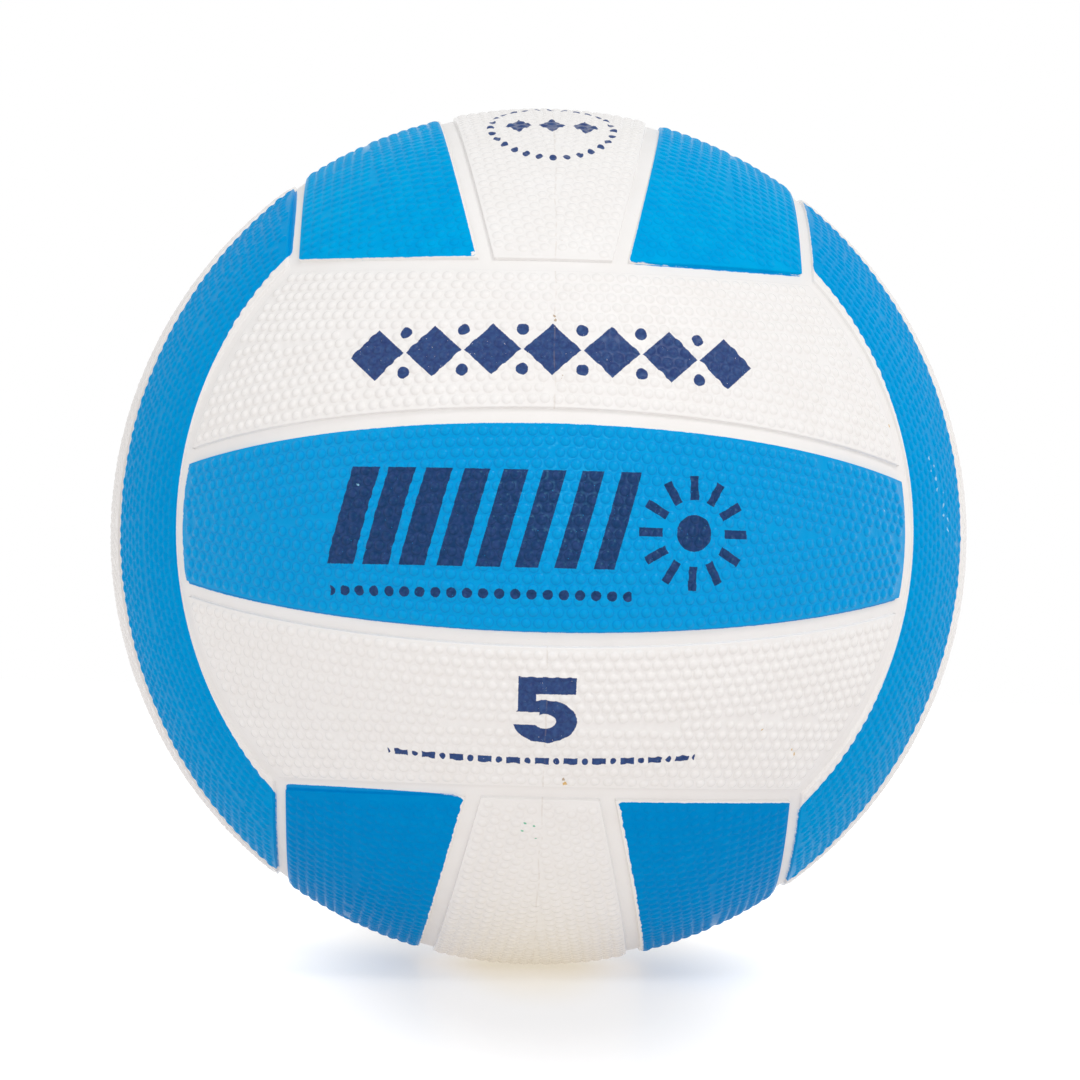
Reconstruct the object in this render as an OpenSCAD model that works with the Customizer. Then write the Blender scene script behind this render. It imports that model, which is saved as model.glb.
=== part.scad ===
// Moulded rubber netball: eighteen panels on a rubber carcass, a layer of wound
// thread, an air bladder and a valve for an inflating needle.
// The origin is the centre of the ball, +Z is up, the front of the ball is at -Y
// and the valve opens at +Y.
//
// The ball has six faces, laid out like the faces of a cube, and each face has
// three strips. The seams round a face lie in the planes of the cube that fits
// inside the ball, so three of them meet at each of the cube's corners.

/* [Ball] */
// Circumference of the ball over the smooth part of its panels
ball_girth = 698; // [600:1:760]

/* [Panels] */
// Thickness of a panel, which is also the depth of the channel beside it
panel_t = 0.9; // [0.5:0.05:1.5]
// Width of the channel between two panels, along the surface
channel_w = 3.8; // [2:0.1:6]
// Bevel along the outer edge of a panel
edge_bevel = 0.3; // [0.1:0.05:0.4]
// Angle from the middle of a face to the seams beside its middle strip
seam_angle = 14; // [10:0.5:18]

/* [Wall] */
// Thickness of the rubber carcass that the panels are cured onto
carcass_t = 0.8; // [0.4:0.05:1.5]
// Thickness of the layer of wound thread
winding_t = 0.35; // [0.2:0.05:0.8]
// Thickness of the air bladder
bladder_t = 0.6; // [0.4:0.05:1.2]

/* [Valve] */
// Radius of the valve's neck and barrel, and of the hole through the wall
neck_r = 4.5; // [4.2:0.1:6]
// Depth of the valve's mouth below the face of its panel
mouth_drop = 0.4; // [0.1:0.1:0.8]
// Radius of the flange inside the bladder
flange_r = 13; // [10:0.5:18]
// Thickness of the flange
flange_t = 1; // [0.6:0.1:2]
// Thickness of the cement between the flange and the bladder
cement_t = 0.1; // [0.05:0.05:0.3]
// Height and width of the cone where the barrel meets the flange
flare_h = 2; // [1:0.1:3]
// Length of the barrel inside the flange
barrel_len = 14; // [8:0.5:20]
// Radius of the bead on the panel round the valve
bead_ring_r = 7.5; // [6.6:0.1:10]
// Radius of the bead's own round section
bead_r = 0.7; // [0.4:0.05:0.9]
// Height of the bead above the face of the panel
bead_h = 0.35; // [0.1:0.05:0.4]

/* [Valve core] */
// Radius of the core's shank
core_r = 2.6; // [2.2:0.1:3]
// Radius of the core's head, which seats in the mouth of the valve
head_r = 3.6; // [3.2:0.1:3.9]
// Thickness of the core's head
head_t = 1.4; // [0.8:0.1:2]
// Clearance between the core and the valve round it
core_gap = 0.05; // [0.02:0.01:0.15]
// Reach of the barb behind the barrel that keeps the core in
barb_w = 0.7; // [0.3:0.1:1.5]
// Length of the barb along the core
barb_len = 1.8; // [1:0.1:3]
// Length of the lips that the needle opens, from the barb to the tip
lips_len = 3; // [1.5:0.1:6]
// Radius of the core's tip
tip_r = 1.6; // [1.2:0.1:2.1]
// Radius of the guide hole for the needle
needle_r = 1; // [0.8:0.05:1.25]
// Depth of the guide hole below the mouth
needle_depth = 12; // [8:0.5:14]
// Radius of the funnel at the mouth of the guide hole
funnel_r = 1.8; // [1.4:0.1:2.4]
// Depth of the funnel
funnel_depth = 1.2; // [0.5:0.1:2]

/* [Hidden] */

// Facets round the ball and round the valve
ball_fn = 180;
valve_fn = 72;

// Outer radius of each layer of the wall, from the panels inwards
ball_r = ball_girth / (2 * PI);
carcass_r = ball_r - panel_t;
winding_r = carcass_r - carcass_t;
bladder_r = winding_r - winding_t;
air_r = bladder_r - bladder_t;

// Distance from the centre of the ball at which a panel's bevel starts
bevel_r = ball_r - edge_bevel;

// Latitude of the seams round a face, counted from the plane that they run along
border_angle = asin(1 / sqrt(3));

// Turn of a cutting shape about its pole, which keeps its facets off the panels' corners
cutter_turn = 20;

// Heights on the valve's axis, from the centre of the ball
mouth_y = ball_r - mouth_drop;
cement_y = air_r - cement_t;
flange_y = cement_y - flange_t;
barrel_y = flange_y - barrel_len;

// Depths below the valve's mouth
barrel_depth = mouth_y - barrel_y;
core_len = barrel_depth + barb_len + lips_len;

// Overrun of the cuts that leave through a face of the valve
overrun = mouth_drop;

RIGHT = [1, 0, 0];
BACK = [0, 1, 0];
UP = [0, 0, 1];

blue_rubber = [0, 0.57, 0.87];
white_rubber = [0.95, 0.94, 0.93];
thread_colour = [0.83, 0.78, 0.66];
bladder_colour = [0.16, 0.16, 0.17];
valve_colour = [0.24, 0.24, 0.25];

// Angle at the centre of the ball under a length along its surface
function arc_angle(length) = length / ball_r * 180 / PI;

// A point of a profile, by its distance from the origin and its latitude
function polar(distance, latitude) = distance * [cos(latitude), sin(latitude)];

// Normal of the seam between a face's middle strip and the strip on one side of it
function seam_normal(facing, side) = side * cos(seam_angle) - facing * sin(seam_angle);

// A whole layer of the ball's wall
module shell(outer_r, thickness) {
    difference() {
        sphere(r = outer_r, $fn = ball_fn);
        sphere(r = outer_r - thickness, $fn = ball_fn);
    }
}

// Turns what stands along +Z to stand along a pole
module aim(pole) {
    rotate([0, acos(pole.z), atan2(pole.y, pole.x)])
        rotate([0, 0, cutter_turn])
            children();
}

// Everything more than one height above the centre of the ball, counted along the pole
module beyond(pole, height) {
    reach = 2 * ball_r;
    aim(pole)
        translate([-reach, -reach, height])
            cube([2 * reach, 2 * reach, reach]);
}

// The sphere on the pole's axis through two points of a profile. Where both points have
// the same latitude, this sphere stands square to the surface of the ball.
module sphere_through(pole, inner_point, outer_point) {
    rise = outer_point.y - inner_point.y;
    height = (outer_point * outer_point - inner_point * inner_point) / (2 * rise);
    aim(pole)
        translate([0, 0, height])
            sphere(r = norm(inner_point - [0, height]), $fn = ball_fn);
}

// One strip of the face that looks along facing. Its strips lie side by side along
// across: strip is -1, 0 or 1. Half a channel is cut away from each seam, and every
// edge gets its bevel. The shell's own seam is turned to the far side of the ball.
module panel(facing, across, strip) {
    half_channel = arc_angle(channel_w / 2);
    bevel = arc_angle(edge_bevel);
    side = strip * across;
    end_angle = border_angle + half_channel;
    side_angle = border_angle - half_channel;
    seams = strip == 0
        ? [seam_normal(facing, across), seam_normal(facing, -across)]
        : [-seam_normal(facing, side)];
    difference() {
        intersection() {
            rotate([0, 0, atan2(-facing.y, -facing.x)])
                shell(ball_r, panel_t);
            sphere_through(facing, polar(carcass_r, end_angle), polar(ball_r, end_angle));
            sphere_through(facing, polar(bevel_r, end_angle), polar(ball_r, end_angle + bevel));
            intersection_for(seam = seams)
                sphere_through(seam, polar(bevel_r, -half_channel), polar(ball_r, -half_channel - bevel));
        }
        for (seam = seams)
            beyond(seam, -channel_w / 2);
        if (strip != 0) {
            sphere_through(side, polar(carcass_r, side_angle), polar(ball_r, side_angle));
            beyond(side, polar(bevel_r, side_angle).y);
        }
    }
}

// Turns what stands along +Z to stand along the valve's axis
module along_valve() {
    rotate([-90, 0, 0])
        children();
}

// The hole that the valve's neck fills, from the air space to outside the ball
module neck_hole() {
    along_valve()
        translate([0, 0, flange_y])
            cylinder(h = ball_r, r = neck_r, $fn = valve_fn);
}

module front_upper_panel() {
    color(white_rubber) panel(-BACK, UP, 1);
}

module front_middle_panel() {
    color(blue_rubber) panel(-BACK, UP, 0);
}

module front_lower_panel() {
    color(white_rubber) panel(-BACK, UP, -1);
}

module back_upper_panel() {
    color(white_rubber) panel(BACK, UP, 1);
}

// The panel with the valve, and with the moulded bead round its mouth
module back_middle_panel() {
    bead_y = sqrt(pow(ball_r + bead_h, 2) - pow(bead_ring_r, 2)) - bead_r;
    color(blue_rubber)
        difference() {
            union() {
                panel(BACK, UP, 0);
                intersection() {
                    along_valve()
                        translate([0, 0, bead_y])
                            rotate_extrude($fn = valve_fn)
                                translate([bead_ring_r, 0])
                                    circle(r = bead_r, $fn = valve_fn);
                    shell(ball_r + bead_r, panel_t + bead_r);
                }
            }
            neck_hole();
        }
}

module back_lower_panel() {
    color(white_rubber) panel(BACK, UP, -1);
}

module top_left_panel() {
    color(blue_rubber) panel(UP, RIGHT, -1);
}

module top_middle_panel() {
    color(white_rubber) panel(UP, RIGHT, 0);
}

module top_right_panel() {
    color(blue_rubber) panel(UP, RIGHT, 1);
}

module bottom_left_panel() {
    color(blue_rubber) panel(-UP, RIGHT, -1);
}

module bottom_middle_panel() {
    color(white_rubber) panel(-UP, RIGHT, 0);
}

module bottom_right_panel() {
    color(blue_rubber) panel(-UP, RIGHT, 1);
}

module left_front_panel() {
    color(blue_rubber) panel(-RIGHT, BACK, -1);
}

module left_middle_panel() {
    color(white_rubber) panel(-RIGHT, BACK, 0);
}

module left_back_panel() {
    color(blue_rubber) panel(-RIGHT, BACK, 1);
}

module right_front_panel() {
    color(blue_rubber) panel(RIGHT, BACK, -1);
}

module right_middle_panel() {
    color(white_rubber) panel(RIGHT, BACK, 0);
}

module right_back_panel() {
    color(blue_rubber) panel(RIGHT, BACK, 1);
}

// White rubber under the panels, which shows as the floor of the channels
module carcass() {
    color(white_rubber)
        difference() {
            shell(carcass_r, carcass_t);
            neck_hole();
        }
}

// Thread wound over the bladder in every direction until it covers it
module winding() {
    color(thread_colour)
        difference() {
            shell(winding_r, winding_t);
            neck_hole();
        }
}

module bladder() {
    color(bladder_colour)
        difference() {
            shell(bladder_r, bladder_t);
            neck_hole();
        }
}

// Flange against the inside of the bladder, a neck out through the wall and a barrel
// into the air space, with the seat for the core down its middle
module valve_body() {
    color(valve_colour)
        difference() {
            union() {
                intersection() {
                    shell(cement_y, flange_t);
                    along_valve()
                        cylinder(h = ball_r, r = flange_r, $fn = valve_fn);
                }
                along_valve() {
                    translate([0, 0, barrel_y])
                        cylinder(h = barrel_depth, r = neck_r, $fn = valve_fn);
                    translate([0, 0, flange_y - flare_h])
                        cylinder(h = flare_h, r1 = neck_r, r2 = neck_r + flare_h, $fn = valve_fn);
                }
            }
            along_valve() {
                translate([0, 0, barrel_y - overrun])
                    cylinder(h = barrel_depth, r = core_r + core_gap, $fn = valve_fn);
                translate([0, 0, mouth_y - head_t])
                    cylinder(h = head_t + overrun, r = head_r + core_gap, $fn = valve_fn);
            }
        }
}

// Soft plug in the barrel. Its profile is drawn by radius and by depth below the
// mouth: the head, the shank, the barb behind the barrel, the lips and the guide hole.
module valve_core() {
    color(white_rubber)
        along_valve()
            translate([0, 0, mouth_y])
                mirror([0, 0, 1])
                    rotate_extrude($fn = valve_fn)
                        polygon([
                            [funnel_r, 0],
                            [head_r, 0],
                            [head_r, head_t],
                            [core_r, head_t],
                            [core_r, barrel_depth],
                            [core_r + barb_w, barrel_depth],
                            [core_r, barrel_depth + barb_len],
                            [tip_r, core_len],
                            [0, core_len],
                            [0, needle_depth],
                            [needle_r, needle_depth],
                            [needle_r, funnel_depth]
                        ]);
}

front_upper_panel();
front_middle_panel();
front_lower_panel();
back_upper_panel();
back_middle_panel();
back_lower_panel();
top_left_panel();
top_middle_panel();
top_right_panel();
bottom_left_panel();
bottom_middle_panel();
bottom_right_panel();
left_front_panel();
left_middle_panel();
left_back_panel();
right_front_panel();
right_middle_panel();
right_back_panel();
carcass();
winding();
bladder();
valve_body();
valve_core();
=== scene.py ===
import math
from functools import reduce

import bpy
import numpy as np
from mathutils import Matrix, Vector
from mathutils.geometry import delaunay_2d_cdt


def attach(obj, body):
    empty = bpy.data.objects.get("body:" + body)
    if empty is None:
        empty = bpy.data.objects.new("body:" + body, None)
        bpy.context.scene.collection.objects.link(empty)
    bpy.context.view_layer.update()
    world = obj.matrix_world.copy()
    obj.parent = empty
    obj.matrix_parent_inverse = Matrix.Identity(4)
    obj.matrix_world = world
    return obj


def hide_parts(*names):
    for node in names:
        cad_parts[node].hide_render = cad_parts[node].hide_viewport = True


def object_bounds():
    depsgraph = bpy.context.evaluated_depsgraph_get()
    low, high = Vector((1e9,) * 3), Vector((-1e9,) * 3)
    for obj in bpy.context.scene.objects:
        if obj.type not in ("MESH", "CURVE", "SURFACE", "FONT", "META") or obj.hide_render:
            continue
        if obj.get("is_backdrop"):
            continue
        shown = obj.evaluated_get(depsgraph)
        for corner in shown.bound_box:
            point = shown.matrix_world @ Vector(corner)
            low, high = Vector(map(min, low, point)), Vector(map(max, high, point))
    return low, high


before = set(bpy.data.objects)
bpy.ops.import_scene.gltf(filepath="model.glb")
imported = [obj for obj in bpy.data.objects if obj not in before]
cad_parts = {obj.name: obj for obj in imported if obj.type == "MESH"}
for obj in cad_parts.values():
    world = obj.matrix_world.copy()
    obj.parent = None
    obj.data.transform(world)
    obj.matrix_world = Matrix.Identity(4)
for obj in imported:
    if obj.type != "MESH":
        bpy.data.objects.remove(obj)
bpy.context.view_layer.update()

# Netball. Its 18 moulded panels are built here with their pebbles, edges and print, and
# stand for the plain panels of the frame. Lengths are in millimetres up to the point
# where a mesh is made.

MM = 0.001


def furthest(node):
    """Distance from the centre of the ball to the furthest point of a CAD node."""
    return max(v.co.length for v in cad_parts[node].data.vertices) / MM


# Wall of the ball, as the frame has it, with the valve's neck and the bead round its mouth
BALL_R = furthest("front_middle_panel")
CARCASS_R = furthest("carcass")
NECK_R = 4.5
BEAD_RING_R = 7.5
BEAD_R = 0.7
BEAD_H = 0.35

# Seams, the rounding at a panel's edge and at its foot, and how far it reaches into the carcass
CHANNEL_W = 3.8
SEAM_ANGLE = math.radians(14)
BORDER_ANGLE = math.asin(1 / math.sqrt(3))
EDGE_R = 0.25
FOOT_R = 0.16
EDGE_STEPS = 4
EDGE_SPACING = 0.75
MARGIN_W = 0.05
SUNK = 0.12

# Rows of pebbles, from a seam inwards
ROW_PITCH = 2.7
WIDE_ROW_PITCH = 2.88
WIDE_ROWS = ("front_upper",)
ROW_REACH = math.radians(62)
ROW_START = 0.02
ROW_SHIFT_SPREAD = 0.09
PEBBLE_PITCH = 3.02
FIRST_ROW = 2.0

# Size of pebbles. PEBBLE_H is their height on the front face, PEBBLE_WORN_H elsewhere.
PEBBLE_R = 1.35
PEBBLE_R_SPREAD = 0.06
PEBBLE_R_RANGE = (1.0, 1.42)
FOOT_GAP = 0.02
PEBBLE_H = 0.55
PEBBLE_WORN_H = 0.36
PEBBLE_H_SPREAD = 0.035

# Which pebbles stay, where one is added and how they spread out
PEBBLE_JITTER = 0.14
PEBBLE_CLEAR = 1.6
PEBBLE_NEAREST = 2.25
PEBBLE_SPACE = 2.8
SPREAD_PASSES = 14
PUSH_SHARE = 0.22
HOLE_R = 2.42
HOLE_SPOTS = 60000

# Rings of points round a pebble, as shares of its radius from foot to top
RING_SIDES = 12
RING_SHARES = (1.04, 0.96, 0.84, 0.6, 0.3)
RING_COUNTS = (RING_SIDES,) * 4 + (RING_SIDES // 2,)
DOME_POWER = 2.05

# Rings round the valve, and its hole's wall: (distance outside the neck, depth in the panel)
VALVE_CLEAR = 10.6
VALVE_RINGS = (9.3, 8.35, 8.1, 7.8, 7.5, 7.2, 6.9, 6.65, 5.2, 4.75, 4.6)
VALVE_SIDES = 96
VALVE_WALL = ((0.02, 0.12), (0.0, 0.35))
VALVE_FOOT_IN = 0.04

# Rings of points under a panel, by their distance from its seams. Its share of the map, and
# how far out in the map the walls of a panel reach.
UNDER_RINGS = (8.0, 15.5)
UNDER_STEP = 9
UNDER_MAP_SHARE = 0.3
WALL_MAP_W = 1

# Triangulation: keep what the outline encloses, and join points this near
INSIDE_OUTLINE = 1
JOIN_WITHIN = 1e-7

X = np.array([1.0, 0, 0])
Y = np.array([0, 1.0, 0])
Z = np.array([0, 0, 1.0])

# Face: (direction it looks in, direction its strips lie side by side in, names of its strips)
FACES = {
    "front": (-Y, Z, ("lower", "middle", "upper")),
    "back": (Y, Z, ("lower", "middle", "upper")),
    "top": (Z, X, ("left", "middle", "right")),
    "bottom": (-Z, X, ("left", "middle", "right")),
    "left": (-X, Y, ("front", "middle", "back")),
    "right": (X, Y, ("front", "middle", "back")),
}
WHITE_MIDDLES = ("top", "bottom", "left", "right")

# Where the blue print ends, as its distance from the middle of each seam: low seam, end
# on +x, high seam, end on -x, in the panel's own frame. Each edge is (distance, lean,
# bow, raggedness): lean is added towards +x or the high seam, and bow at both ends.
PRINT_CORNER_R = 0.8
PRINT = {
    "front_middle": ((1.55, 0.1, -0.4, 0.08), (2.18, 0, 0, 0.06), (2.1, 0, -0.6, 0.1), (1.85, 0, 0.2, 0.5)),
    "top_left": ((2.26, 0, 0, 0.05), (1.83, 0, 0.2, 0.15), (1.87, 0, 0, 0.1), (2.0, 0, 0, 0.2)),
    "top_right": ((1.68, 0.4, 0, 0.05), (1.17, 0, 0.3, 0.18), (1.75, 0, 0, 0.1), (2.0, 0, 0, 0.2)),
    "bottom_left": ((2.05, 0, 0, 0.35), (2.0, 0, 0, 0.2), (1.53, 0, 0, 0.1), (0.7, -0.4, 0.3, 0.08)),
    "bottom_right": ((2.5, 0, 0, 0.35), (2.0, 0, 0, 0.2), (1.6, 0, 0, 0.1), (2.05, 0, 0, 0.12)),
    "left_front": ((2.6, 0, 0, 0.6), (0.7, 0, 0.4, 0.05), (0.93, 0.7, 6.6, 0.05), (1.58, 0, 0, 0.1)),
    "right_front": ((2.1, 0.4, 0, 0.3), (1.7, 0, 0, 0.1), (1.92, 0, 6.0, 0.05), (1.93, 0, 0, 0.1)),
}
SLANTED = ("left_front", "right_front")
SLANT = 1.4
PLAIN_PRINT = ((1.9, 0, 0.3, 0.2),) * 4


def arc(start, end, pole, count):
    """Points from start up to but not including end, on their circle about the pole."""
    centre = (start @ pole) * pole
    out = start - centre
    side = np.cross(pole, out)
    angle = math.atan2(end @ side, end @ out)
    turn = np.linspace(0, angle, count, endpoint=False)[:, None]
    return centre + np.cos(turn) * out + np.sin(turn) * side


def normed(u):
    """The vectors u, each brought to length 1."""
    return u / np.linalg.norm(u, axis=1)[:, None]


def tangents(u, towards):
    """For unit vectors u, the directions along the surface square to and towards a pole."""
    up = normed(towards - (u @ towards)[:, None] * u)
    return np.cross(up, u), up


class Strip:
    """One strip of a face, in its face's frame: x along it, y across the strips and z out
    of the face. A strip on the -y side is built as its mirror image. A seam is (pole, angle),
    the circle at this angle from the plane square to the pole, with the strip beyond it."""

    def __init__(self, face, index):
        self.facing, self.across, names = FACES[face]
        self.mirrored = index == 0
        self.middle = index == 1
        self.name = f"{face}_{names[index]}"
        self.node = f"{self.name}_panel"
        self.blue = self.middle != (face in WHITE_MIDDLES)
        self.valve = self.node == "back_middle_panel"
        cosine, sine = math.cos(SEAM_ANGLE), math.sin(SEAM_ANGLE)
        low = (np.array([0, cosine, -sine]), 0.0)
        high = (-Y, -BORDER_ANGLE)
        if self.middle:
            low = (np.array([0, cosine, sine]), 0.0)
            high = (np.array([0, -cosine, sine]), 0.0)
        end = (Z, BORDER_ANGLE)
        self.seams = (low, end, high, end)
        middle_angle = 0 if self.middle else (SEAM_ANGLE + BORDER_ANGLE) / 2
        self.centre = np.array([0, math.sin(middle_angle), math.cos(middle_angle)])

    def to_ball(self, points):
        """Points of the strip's frame in the ball's frame."""
        along = np.cross(self.across, self.facing)
        across = -self.across if self.mirrored else self.across
        return points @ np.stack([along, across, self.facing])

    def depth(self, side, u):
        """Distance along the surface from the middle of one seam to the points u."""
        pole, angle = self.seams[side]
        return BALL_R * (np.arcsin(np.clip(u @ pole, -1, 1)) - angle)

    def room(self, u):
        """Distance along the surface from the nearest seam to the points u."""
        return np.min([self.depth(side, u) for side in range(3)], axis=0)

    def corner(self, side, offset):
        """Where the edges that run at this offset from a seam and from the next one meet."""
        (pole_a, angle_a), (pole_b, angle_b) = self.seams[side], self.seams[(side + 1) % 4]
        height_a = math.sin(angle_a + offset / BALL_R)
        height_b = math.sin(angle_b + offset / BALL_R)
        lean = pole_a @ pole_b
        share_a = (height_a - lean * height_b) / (1 - lean * lean)
        share_b = (height_b - lean * height_a) / (1 - lean * lean)
        base = share_a * pole_a + share_b * pole_b
        sign = 1 if side in (0, 1) else -1
        return base + sign * math.sqrt(1 - base @ base) * X

    def loop(self, offset):
        """Unit vectors round the strip at this offset from its seams, counter-clockwise."""
        corners = [self.corner(side, offset) for side in range(4)]
        stretches = []
        for side in range(4):
            start, end = corners[side - 1], corners[side]
            nominal = self.corner((side - 1) % 4, 0) - self.corner(side, 0)
            count = round(np.linalg.norm(nominal) * BALL_R / EDGE_SPACING)
            stretches.append(arc(start, end, self.seams[side][0], count))
        return np.concatenate(stretches)

    def flat(self, u):
        """The points u in the plane, by stereographic projection from behind the strip."""
        up = np.cross(self.centre, X)
        scale = 2 * BALL_R / (1 + u @ self.centre)
        return np.stack([scale * (u @ X), scale * (u @ up)], axis=1)


def from_valve(u):
    """Distance along the surface to the points u from the middle of the valve's strip."""
    return BALL_R * np.arccos(np.clip(u @ Z, -1, 1))


def row_centres(strip, side, rng):
    """Pebble centres in staggered rows beside one long seam, up to the strip's middle."""
    pole, angle = strip.seams[side]
    ahead = np.cross(X, pole)
    ahead = ahead if ahead @ Z > 0 else -ahead
    rows = []
    shift = [0.0, 0.0]
    edge = CHANNEL_W / 2 + FIRST_ROW
    row_pitch = WIDE_ROW_PITCH if strip.name in WIDE_ROWS else ROW_PITCH
    for row in range(round(BALL_R / row_pitch)):
        latitude = angle + (edge + row * row_pitch) / BALL_R
        step = PEBBLE_PITCH / (BALL_R * math.cos(latitude))
        for half, sign in enumerate((-1, 1)):
            shift[half] += 0.5 + rng.normal(0, ROW_SHIFT_SPREAD)
            count = math.ceil(ROW_REACH / step)
            longitude = sign * (np.arange(count) + ROW_START + shift[half] % 1) * step
            out = np.cos(longitude)[:, None] * ahead + np.sin(longitude)[:, None] * X
            rows.append(math.cos(latitude) * out + math.sin(latitude) * pole)
    u = np.concatenate(rows)
    east, north = tangents(u, pole)
    jitter = rng.normal(0, PEBBLE_JITTER, (2, len(u), 1)) / BALL_R
    u = normed(u + jitter[0] * east + jitter[1] * north)
    nearer = strip.depth(side, u) <= strip.depth(2 - side, u)
    return u[nearer & (strip.room(u) > CHANNEL_W / 2 + PEBBLE_CLEAR)]


def gaps_between(u):
    """The distance between each two of the points u, with a large value on the diagonal."""
    gap = BALL_R * np.arccos(np.clip(u @ u.T, -1, 1))
    np.fill_diagonal(gap, BALL_R)
    return gap


def thin_out(u):
    """The points u without those that lie too near to an earlier one."""
    gap = gaps_between(u)
    kept = np.ones(len(u), bool)
    for i in range(len(u)):
        if kept[i]:
            kept[i + 1:] &= gap[i, i + 1:] > PEBBLE_NEAREST
    return u[kept]


def fill_holes(strip, u, rng):
    """The points u with more of them where rows meet and leave a hole."""
    inset = CHANNEL_W / 2 + PEBBLE_CLEAR
    spots = normed(rng.normal(size=(HOLE_SPOTS, 3)))
    spots = spots[(spots[:, 2] > 0) & (strip.room(spots) > inset)]
    if strip.valve:
        spots = spots[from_valve(spots) > VALVE_CLEAR]
    closest = (spots @ u.T).max(1)
    limit = math.cos(HOLE_R / BALL_R)
    added = []
    while closest.min() < limit:
        found = spots[closest.argmin()]
        added.append(found)
        closest = np.maximum(closest, spots @ found)
    return np.concatenate([u, np.array(added).reshape(-1, 3)])


def spread_out(strip, u):
    """The points u after crowded ones have pushed each other apart, inside the margin."""
    limit = CHANNEL_W / 2 + PEBBLE_CLEAR
    for _ in range(SPREAD_PASSES):
        gap = gaps_between(u)
        crowding = np.clip(PEBBLE_SPACE - gap, 0, None) / BALL_R * PUSH_SHARE
        push = crowding / (gap / BALL_R)
        u = normed(u + push.sum(1)[:, None] * u - push @ u)
        for pole, angle in strip.seams[:3]:
            short = limit / BALL_R - (np.arcsin(np.clip(u @ pole, -1, 1)) - angle)
            u = normed(u + np.clip(short, 0, None)[:, None] * tangents(u, pole)[1])
    return u


def pebble_centres(strip, rng):
    """Unit vectors to all the pebbles of a strip."""
    u = np.concatenate([row_centres(strip, side, rng) for side in (0, 2)])
    if strip.valve:
        u = u[from_valve(u) > VALVE_CLEAR]
    return spread_out(strip, fill_holes(strip, thin_out(u), rng))


class Build:
    """Vertices, faces and map places of a mesh in the making. under counts the triangles
    of its underside, which come last."""

    def __init__(self):
        self.points = []
        self.places = []
        self.faces = []
        self.count = 0
        self.under = 0

    def add(self, directions, heights, places):
        """Adds points at these distances from the centre; returns their numbers."""
        heights = np.broadcast_to(heights, len(directions))
        self.points.append(directions * heights[:, None])
        self.places.append(places)
        first = self.count
        self.count += len(directions)
        return np.arange(first, self.count)

    def band(self, outer, inner):
        """Quads between two closed loops with as many points, counter-clockwise."""
        self.faces.append(np.stack([outer, np.roll(outer, -1), np.roll(inner, -1), inner], axis=1))


def fill(flat, loop_count, ring_sizes):
    """Triangles between an outer loop and the rings inside it, over points in the plane.
    The loop's points come first, then each ring's. The hollow of a concave side of the
    loop stays empty: there the loop's own order runs the wrong way round a triangle."""
    points = [Vector(p) for p in flat]
    outline = list(range(loop_count))
    found = delaunay_2d_cdt(points, [], [outline], INSIDE_OUTLINE, JOIN_WITHIN, False)
    triangles = np.array(found[2])
    rings = np.repeat(np.arange(len(ring_sizes)), ring_sizes)
    owner = np.concatenate([np.full(loop_count, -1), rings])
    owned = owner[triangles]
    inside = (owned[:, 0] >= 0) & (owned[:, 0] == owned[:, 1]) & (owned[:, 0] == owned[:, 2])
    triangles = triangles[~inside]
    on_loop = (triangles < loop_count).all(1)
    triangles[on_loop] = np.sort(triangles[on_loop], axis=1)
    corner = flat[triangles]
    edge_a = corner[:, 1] - corner[:, 0]
    edge_b = corner[:, 2] - corner[:, 0]
    turned = edge_a[:, 0] * edge_b[:, 1] - edge_a[:, 1] * edge_b[:, 0] < 0
    triangles[turned] = triangles[turned][:, ::-1]
    return triangles[~(on_loop & turned)]


def around(u, east, north, radius, angle):
    """Unit vectors at this distance and bearing from each unit vector u."""
    spin = np.cos(angle)[..., None] * east + np.sin(angle)[..., None] * north
    turn = (radius / BALL_R)[..., None]
    return np.cos(turn) * u + np.sin(turn) * spin


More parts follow.
